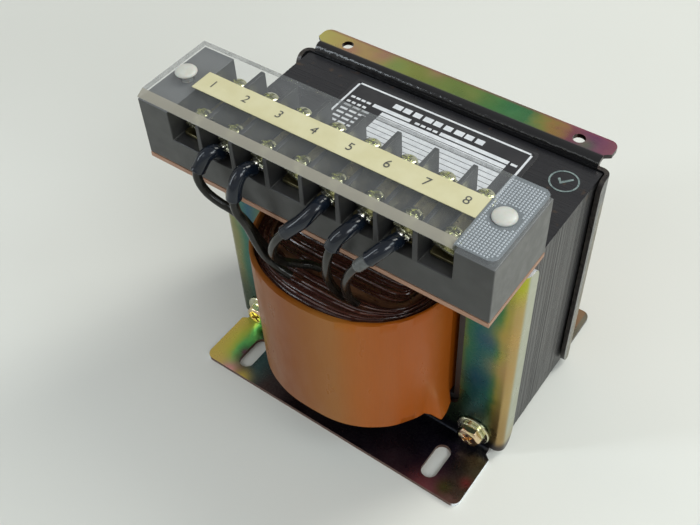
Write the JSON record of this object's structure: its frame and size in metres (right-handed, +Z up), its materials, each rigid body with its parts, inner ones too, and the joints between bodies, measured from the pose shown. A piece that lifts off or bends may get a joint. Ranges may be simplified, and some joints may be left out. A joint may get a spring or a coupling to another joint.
{
  "type": "control transformer",
  "caption": "Frame-mounted control transformer: laminated core between folded steel end frames, taped coil, barrier terminal block under a clear lift-off cover, leads to the coil.",
  "frame": {"origin": "on the mounting plane under the feet, below the middle of the whole outline, to within a millimetre; the middle of the laminated core is 0.8 mm towards +X of it", "axes": "+Z up out of the mounting plane; X along the terminal block, pole numbers rising with X; +Y from the terminal side towards the back"},
  "size_m": [0.1222, 0.1167, 0.1271],
  "materials": {
    "zinc_frame": "yellow chromate over zinc, iridescent, satin",
    "lamination": "black varnished lamination stack, satin",
    "insulation": "varnished insulating paper",
    "winding": null,
    "coil_tape": "amber wrapping tape, semi-gloss",
    "yellow_zinc_screw": "yellow chromated steel, bright",
    "terminal_brass": "plated brass",
    "tinned_lug": "tin plated copper, bright",
    "board": "phenolic sheet, brown",
    "moulding": "matt charcoal thermoset moulding",
    "lead_sleeve": "black PVC, glossy",
    "clear_cover": "clear moulded plastic",
    "nylon": "natural nylon",
    "label": "cream printed card strip",
    "rating_label": "black printed label"
  },
  "bodies": {
    "base": {"front_frame": "zinc_frame", "rear_frame": "zinc_frame", "core_e_stack": "lamination", "core_i_stack": "lamination", "coil_former": "insulation", "interwinding_insulation": "insulation", "primary_winding": "winding", "secondary_winding": "winding", "coil_tape_wrap": "coil_tape", "clamp_screw_1": "yellow_zinc_screw", "clamp_nut_1": "yellow_zinc_screw", "clamp_screw_2": "yellow_zinc_screw", "clamp_nut_2": "yellow_zinc_screw", "clamp_screw_3": "yellow_zinc_screw", "clamp_nut_3": "yellow_zinc_screw", "clamp_screw_4": "yellow_zinc_screw", "clamp_nut_4": "yellow_zinc_screw", "terminal_board": "board", "terminal_block": "moulding", "terminal_bar_1": "terminal_brass", "terminal_bar_2": "terminal_brass", "terminal_bar_3": "terminal_brass", "terminal_bar_4": "terminal_brass", "terminal_bar_5": "terminal_brass", "terminal_bar_6": "terminal_brass", "terminal_bar_7": "terminal_brass", "terminal_bar_8": "terminal_brass", "lead_lug_1": "tinned_lug", "lead_1": "lead_sleeve", "lead_lug_2": "tinned_lug", "lead_2": "lead_sleeve", "lead_lug_3": "tinned_lug", "lead_3": "lead_sleeve", "lead_lug_4": "tinned_lug", "lead_4": "lead_sleeve", "lead_lug_5": "tinned_lug", "lead_5": "lead_sleeve", "block_screw_left": "yellow_zinc_screw", "block_screw_right": "yellow_zinc_screw", "rating_plate": "rating_label"},
    "cover": {"terminal_cover": "clear_cover", "marking_strip": "label"},
    "cover_fastener_left": {"cover_fastener_left": "nylon"},
    "cover_fastener_right": {"cover_fastener_right": "nylon"},
    "front_terminal_screw_1": {"front_terminal_screw_1": "yellow_zinc_screw"},
    "front_terminal_screw_2": {"front_terminal_screw_2": "yellow_zinc_screw"},
    "front_terminal_screw_3": {"front_terminal_screw_3": "yellow_zinc_screw"},
    "front_terminal_screw_4": {"front_terminal_screw_4": "yellow_zinc_screw"},
    "front_terminal_screw_5": {"front_terminal_screw_5": "yellow_zinc_screw"},
    "front_terminal_screw_6": {"front_terminal_screw_6": "yellow_zinc_screw"},
    "front_terminal_screw_7": {"front_terminal_screw_7": "yellow_zinc_screw"},
    "front_terminal_screw_8": {"front_terminal_screw_8": "yellow_zinc_screw"},
    "rear_terminal_screw_1": {"rear_terminal_screw_1": "yellow_zinc_screw"},
    "rear_terminal_screw_2": {"rear_terminal_screw_2": "yellow_zinc_screw"},
    "rear_terminal_screw_3": {"rear_terminal_screw_3": "yellow_zinc_screw"},
    "rear_terminal_screw_4": {"rear_terminal_screw_4": "yellow_zinc_screw"},
    "rear_terminal_screw_5": {"rear_terminal_screw_5": "yellow_zinc_screw"},
    "rear_terminal_screw_6": {"rear_terminal_screw_6": "yellow_zinc_screw"},
    "rear_terminal_screw_7": {"rear_terminal_screw_7": "yellow_zinc_screw"},
    "rear_terminal_screw_8": {"rear_terminal_screw_8": "yellow_zinc_screw"}
  },
  "joints": [
    {"name": "cover_lift", "type": "slide", "parent": "base", "child": "cover", "axis": [0, 0, 1], "range_m": [0, 0.03]},
    {"name": "cover_fastener_left_pull", "type": "slide", "parent": "cover", "child": "cover_fastener_left", "axis": [0, 0, 1], "range_m": [0, 0.01]},
    {"name": "cover_fastener_right_pull", "type": "slide", "parent": "cover", "child": "cover_fastener_right", "axis": [0, 0, 1], "range_m": [0, 0.01]},
    {"name": "front_terminal_screw_1_turn", "type": "hinge", "parent": "base", "child": "front_terminal_screw_1", "pos_m": [-0.04455, -0.0408, 0.1157], "axis": [0, 0, 1], "continuous": true},
    {"name": "front_terminal_screw_2_turn", "type": "hinge", "parent": "base", "child": "front_terminal_screw_2", "pos_m": [-0.03205, -0.0408, 0.1154], "axis": [0, 0, 1], "continuous": true},
    {"name": "front_terminal_screw_3_turn", "type": "hinge", "parent": "base", "child": "front_terminal_screw_3", "pos_m": [-0.01955, -0.0408, 0.1154], "axis": [0, 0, 1], "continuous": true},
    {"name": "front_terminal_screw_4_turn", "type": "hinge", "parent": "base", "child": "front_terminal_screw_4", "pos_m": [-0.00705, -0.0408, 0.1157], "axis": [0, 0, 1], "continuous": true},
    {"name": "front_terminal_screw_5_turn", "type": "hinge", "parent": "base", "child": "front_terminal_screw_5", "pos_m": [0.00545, -0.0408, 0.1154], "axis": [0, 0, 1], "continuous": true},
    {"name": "front_terminal_screw_6_turn", "type": "hinge", "parent": "base", "child": "front_terminal_screw_6", "pos_m": [0.01795, -0.0408, 0.1154], "axis": [0, 0, 1], "continuous": true},
    {"name": "front_terminal_screw_7_turn", "type": "hinge", "parent": "base", "child": "front_terminal_screw_7", "pos_m": [0.03045, -0.0408, 0.1154], "axis": [0, 0, 1], "continuous": true},
    {"name": "front_terminal_screw_8_turn", "type": "hinge", "parent": "base", "child": "front_terminal_screw_8", "pos_m": [0.04295, -0.0408, 0.1157], "axis": [0, 0, 1], "continuous": true},
    {"name": "rear_terminal_screw_1_turn", "type": "hinge", "parent": "base", "child": "rear_terminal_screw_1", "pos_m": [-0.04455, -0.0242, 0.1157], "axis": [0, 0, 1], "continuous": true},
    {"name": "rear_terminal_screw_2_turn", "type": "hinge", "parent": "base", "child": "rear_terminal_screw_2", "pos_m": [-0.03205, -0.0242, 0.1157], "axis": [0, 0, 1], "continuous": true},
    {"name": "rear_terminal_screw_3_turn", "type": "hinge", "parent": "base", "child": "rear_terminal_screw_3", "pos_m": [-0.01955, -0.0242, 0.1157], "axis": [0, 0, 1], "continuous": true},
    {"name": "rear_terminal_screw_4_turn", "type": "hinge", "parent": "base", "child": "rear_terminal_screw_4", "pos_m": [-0.00705, -0.0242, 0.1157], "axis": [0, 0, 1], "continuous": true},
    {"name": "rear_terminal_screw_5_turn", "type": "hinge", "parent": "base", "child": "rear_terminal_screw_5", "pos_m": [0.00545, -0.0242, 0.1157], "axis": [0, 0, 1], "continuous": true},
    {"name": "rear_terminal_screw_6_turn", "type": "hinge", "parent": "base", "child": "rear_terminal_screw_6", "pos_m": [0.01795, -0.0242, 0.1157], "axis": [0, 0, 1], "continuous": true},
    {"name": "rear_terminal_screw_7_turn", "type": "hinge", "parent": "base", "child": "rear_terminal_screw_7", "pos_m": [0.03045, -0.0242, 0.1157], "axis": [0, 0, 1], "continuous": true},
    {"name": "rear_terminal_screw_8_turn", "type": "hinge", "parent": "base", "child": "rear_terminal_screw_8", "pos_m": [0.04295, -0.0242, 0.1157], "axis": [0, 0, 1], "continuous": true}
  ]
}
